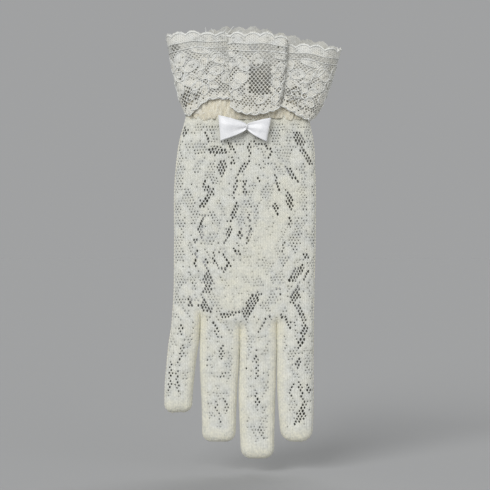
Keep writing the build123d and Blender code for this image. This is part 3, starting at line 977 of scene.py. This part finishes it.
PETALS = petals(RING_FLOWER, np.arange(6) * math.pi / 3 + 0.3, 8.6, 8.4, 4.4, 3.4)
PETALS += petals(SMALL_FLOWER, np.arange(5) * 1.2566 + 0.7, 5.6, 5.4, 3.5, 2.4)
PETALS += [(25, 25.6, 70, 5, 2.4), (24.4, 34.6, -8, 5.4, 2.3), (31, 30.6, 60, 4, 1.9), (14.8, 8.2, 20, 4, 2)]


def petal_field(u, v):
    """How far out of the nearest petal each place is (1 at its edge), and its place along the repeat."""
    x = (u * RUFFLE_LONG) % REPEAT
    best = np.full(np.shape(x), 9.0)
    for px, pv, turn, long, wide in PETALS:
        c, s = math.cos(math.radians(turn)), math.sin(math.radians(turn))
        dx = (x - px + REPEAT / 2) % REPEAT - REPEAT / 2
        a, b = (dx * c + (v - pv) * s) / long, (-dx * s + (v - pv) * c) / wide
        best = np.minimum(best, np.abs(a) ** 2.1 + np.abs(b) ** 2.1)
    return best, x


# Heights on the strip where its lace changes: the open band, the close-worked border and its solid edge,
# and the close-worked foot and its solid edge.
OPEN_BAND = (36.6, 40.4)
WORKED_BORDER = (40.0, 44.0)
WORKED_FOOT = (4.2, 1.6)
PANE = (8.5, 19.0)  # x and z of the middle of the oblong of plain net in the middle panel


def ruffle_openness(cells, middle):
    """Openness of the ruffle's lace: net between petals, windows of plain net and close-worked borders."""
    u, v = cells[:, 0] / RUFFLE_CELLS, (1 - cells[:, 1] / (3 * RUFFLE_ROWS)) * RUFFLE_HIGH
    wx, wz = middle[:, 0], middle[:, 2]
    front = middle[:, 1] < -3
    petal, x = petal_field(u, v)
    size = np.where(petal < 1, 0, 0.58)
    size = np.where((petal < 0.3) & (RANDOM.random(len(u)) < 0.6), 0.34, size)
    away = np.hypot(x - RING_FLOWER[0], v - RING_FLOWER[1])
    size = np.where(away < RING_FLOWER[2], 0, size)
    size = np.where((away < 2.9) & (away > RING_FLOWER[3]), 0.6, size)
    # the plain net: two places in the middle panel, and one low on each side of the front
    panel = (u > PANEL[0]) & (u < PANEL[1])
    size = np.where(panel & (np.abs(wx - PANE[0]) < 5.6) & (np.abs(wz - PANE[1]) < 8.0), 0.86, size)
    for part, at_x, at_z, wide, high, clear in (
            (panel, 12, 33, 5, 3.4, 0.4), (front, -28, 6, 7.5, 7, 0.2), (front, 27, 9.5, 4.5, 6.5, 0.2)):
        window = np.hypot((wx - at_x) / wide, (wz - at_z) / high) < 1
        size = np.where(part & window & (petal > clear), 0.84, size)
    gaps = front & ((wx < -34) | (wx > 27)) | panel & (wx > 3)
    size = np.where((v > OPEN_BAND[0]) & (v < OPEN_BAND[1]), np.where(gaps, 0.9, 0.32), size)
    bar = (cells[:, 0] // 2) % 2 == 0
    size = np.where(v > WORKED_BORDER[0], np.where(bar | (ripple(wz, wx) < 0.1), 0, 0.24), size)
    size = np.where(v > WORKED_BORDER[1], 0, size)
    size = np.where(v < WORKED_FOOT[0], np.where(bar, 0, 0.45), size)
    size = np.where(v < WORKED_FOOT[1], 0, size)
    return size * RANDOM.uniform(0.9, 1.05, len(size))


def ruffle_warmth(points):
    x, z = points[:, 0], points[:, 2]
    return np.clip(0.35 - 0.012 * (z - 20) + 0.2 * ripple(x * 2, z * 2), 0, 1)


shape = Shape()
lace_sheet(shape, round_cells(RUFFLE_CELLS, range(RUFFLE_ROWS + 1)), (-NO_LIMIT, NO_LIMIT, NO_LIMIT),
           ruffle_place, ruffle_openness, ruffle_warmth, -1, wrap=RUFFLE_CELLS)
ruffle = shape.make("ruffle_galloon", [RUFFLE, RUFFLE_INSIDE_SHADE], "hand", ["ruffle"])


def outline(shape, u, v, radius):
    """A shiny thread laid along a closed line on the strip, on its outer face."""
    t = v / RUFFLE_HIGH
    across = ruffle_point(u + 0.0015, t) - ruffle_point(u - 0.0015, t)
    rise = ruffle_point(u, t + 0.01) - ruffle_point(u, t - 0.01)
    normal = unit(np.cross(across, rise))
    tube(shape, ruffle_point(u, t) + normal * 0.35, radius, 5, up=normal, closed=True)


def in_window(u, v):
    """Whether a place on the strip lies in the plain net of the middle panel."""
    x, _, z = ruffle_point(u, v / RUFFLE_HIGH)
    return PANEL[0] < u < PANEL[1] and abs(x - PANE[0]) < 7.5 and abs(z - PANE[1]) < 9


shape = Shape()
turn = full_turn(30)
for repeat in range(REPEATS):
    for px, pv, lean, long, wide in PETALS:
        if in_window((repeat + px / REPEAT) / REPEATS, pv):
            continue
        c, s = math.cos(math.radians(lean)), math.sin(math.radians(lean))
        a = long * np.sign(np.cos(turn)) * np.abs(np.cos(turn)) ** 0.95
        b = wide * np.sign(np.sin(turn)) * np.abs(np.sin(turn)) ** 0.95
        outline(shape, (repeat + (px + a * c - b * s) / REPEAT) / REPEATS, pv + a * s + b * c, 0.2)
    for cx, cv, radius in (RING_FLOWER[:3], RING_FLOWER[:2] + RING_FLOWER[3:], SMALL_FLOWER):
        if in_window((repeat + cx / REPEAT) / REPEATS, cv):
            continue
        u = (repeat + (cx + radius * np.cos(turn)) / REPEAT) / REPEATS
        outline(shape, u, cv + radius * np.sin(turn), 0.26)
# threads along the border, the open band under it and the foot: (height, scallops' height, rate, radius)
BORDERS = [(45.6, 0.045, 1, 0.34), (40.6, 0, 1, 0.2), (36.4, 0, 1, 0.2), (0.5, -0.03, 1.3, 0.32)]
u = np.linspace(0, 1, 900, endpoint=False)
for level, swing, rate, size in BORDERS:
    outline(shape, u, level + RUFFLE_HIGH * swing * (scallop(u * rate) - 0.6), size)
# loose ends of thread at the upper edge: (x, lean, height)
for x, lean, rise in ((-20.6, 0.6, 2.6), (-16.2, -0.8, 2.2), (-11.5, 2.4, 2.0), (-8.6, 3.4, 3.4)):
    t = np.linspace(0, 1, 12)
    path = np.stack([x + lean * t + 0.3 * np.sin(5 * t), -6.9 - 0.8 * t, 43.4 + rise * t ** 0.8], -1)
    tube(shape, path, 0.26 - 0.1 * t, 5)
threads = shape.make("ruffle_outline_threads", [RAYON], "hand")

shape = Shape()
turn = full_turn(500)
for level, phase in ((8.8, 0.0), (9.9, 1.5)):
    x, y = round_oval(turn, 33.4, 6.6)
    y = y + 0.25 * np.sin(70 * turn + phase)
    path = np.stack([x + WRIST_X, y, level + 0.3 * np.sin(31 * turn + phase)], -1)
    tube(shape, path, 0.28 + 0.08 * np.sin(turn * 130), 5, closed=True)
shape.make("gather_stitches", [THREAD], "hand", ["ruffle_gather_seam"])

# ---- bow: two flattened loops of satin ribbon, pinched and stitched ----
PINCH = (1.5, -7.2, -5.9)
PINCH_HALF = 1.0  # half the height of the pinched ribbon
# The outer end of each loop: x and z of its upper corner, then of its lower corner.
LOOP_ENDS = {"left": (-13.5, 0.1, -12.3, -13.3), "right": (14.2, -1.3, 11.8, -13.8)}


def bow_loop(side):
    """A loop of ribbon, from the pinch out along its front and back again behind."""
    top_x, top_z, low_x, low_z = LOOP_ENDS[side]
    along, across = np.meshgrid(np.linspace(0.004, 0.996, 73), np.linspace(-1, 1, 31), indexing="ij")
    q = np.sin(math.pi * along)
    half = (across + 1) / 2
    reach = (top_x - PINCH[0]) * half + (low_x - PINCH[0]) * (1 - half)
    spread = q ** 0.66
    z_top = PINCH[2] + PINCH_HALF + (top_z - PINCH[2] - PINCH_HALF) * spread
    z_low = PINCH[2] - PINCH_HALF + (low_z - PINCH[2] + PINCH_HALF) * spread
    z = z_low + (z_top - z_low) * half
    x = PINCH[0] + reach * q
    phase = 0.7 if side == "left" else 2.1
    pleat = 0.34 * (1 - q) ** 1.3 * np.sin(6 * across + phase)
    pleat = pleat + 0.5 * q * (1 - q) * np.sin(4 * across + phase * 2)
    bulge = 1.55 * np.sin(TURN * along) * (1 - 0.25 * across ** 2)
    y = PINCH[1] - bulge - pleat * np.sign(np.sin(TURN * along) + 1e-9)
    crease = 0.35 - 0.5 * q if side == "right" else 0.45 - 0.1 * q
    y -= 0.75 * np.exp(-((across - crease) / 0.3) ** 2) * q * (1 - q) * 2 * (along < 0.5)
    shape = Shape()
    shape.add(np.stack([x, y, z], -1), [grid_quads(*along.shape, False, False)])
    piece = shape.make(f"satin_{side}_loop", [SATIN], "hand", [f"bow_{side}_loop"])
    thick = piece.modifiers.new("ribbon", "SOLIDIFY")
    thick.thickness = 0.28 * MM
    thick.offset = 0


for side in ("left", "right"):
    bow_loop(side)
shape = Shape()
turn = full_turn(40)
for shift in (-0.22, 0.22):
    ring = [shift + 0.1 * np.sin(turn), 1.25 * np.sin(turn), 1.15 * np.cos(turn)]
    tube(shape, np.stack(ring, -1) + PINCH, 0.2, 6, up=(1, 0, 0), closed=True)
shape.make("bow_pinch_thread", [THREAD], "hand", ["bow_stitch"])

# ---- camera, light and stage ----
VIEW_HALF = 0.1298  # half the width of the view at the glove, in metres
VIEW_MIDDLE = (0.0005, -0.004, -0.0684)
LENS = 100.0
SENSOR = 36.0
camera_data = bpy.data.cameras.new("camera")
camera_data.lens = LENS
camera_data.sensor_width = SENSOR
camera = bpy.data.objects.new("camera", camera_data)
camera.location = Vector(VIEW_MIDDLE) - Vector((0, VIEW_HALF * 2 * LENS / SENSOR, 0))
camera.rotation_euler = (math.pi / 2, 0, 0)
camera_data.clip_end = 50
bpy.context.scene.collection.objects.link(camera)
bpy.context.scene.camera = camera


def sun_light(name, at, strength, spread):
    """A soft light from far away in the direction of a point, spread over this many degrees."""
    data = bpy.data.lights.new(name, "SUN")
    data.energy = strength
    data.angle = math.radians(spread)
    lamp = bpy.data.objects.new(name, data)
    lamp.rotation_euler = Vector(at).to_track_quat("Z", "Y").to_euler()
    bpy.context.scene.collection.objects.link(lamp)


sun_light("key", (-0.55, -1.0, 0.65), 2.0, 35)
sun_light("fill", (0.9, -1.0, 0.15), 0.75, 60)
sun_light("rear", (0.3, 1.0, 0.8), 1.2, 60)

BACKDROP = 0.36  # brightness of the world, which the floor's colour is matched to
FLOOR_COLOUR = (0.374, 0.377, 0.379, 1)
FLOOR_Z = -0.19
FLOOR_RADIUS = 12
FLOOR_SIDES = 96
floor_data = bpy.data.meshes.new("floor")
rim = [(FLOOR_RADIUS * math.cos(a), FLOOR_RADIUS * math.sin(a), FLOOR_Z) for a in full_turn(FLOOR_SIDES)]
wedges = [(0, k + 1, (k + 1) % FLOOR_SIDES + 1) for k in range(FLOOR_SIDES)]
floor_data.from_pydata([(0.0, 0.0, FLOOR_Z)] + rim, [], wedges)
floor = bpy.data.objects.new("floor", floor_data)
stage_material, stage_tree, stage_shader = new_material("pale_floor")
stage_shader.inputs["Base Color"].default_value = FLOOR_COLOUR
stage_shader.inputs["Roughness"].default_value = 1.0
stage_shader.inputs["Specular IOR Level"].default_value = 0.0
floor_data.materials.append(stage_material)
bpy.context.scene.collection.objects.link(floor)

world = bpy.data.worlds.new("studio")
bpy.context.scene.world = world
world.use_nodes = True
world.node_tree.nodes["Background"].inputs[0].default_value = (0.98, 0.99, 1.0, 1)
world.node_tree.nodes["Background"].inputs[1].default_value = BACKDROP
bpy.context.scene.view_settings.view_transform = "Standard"
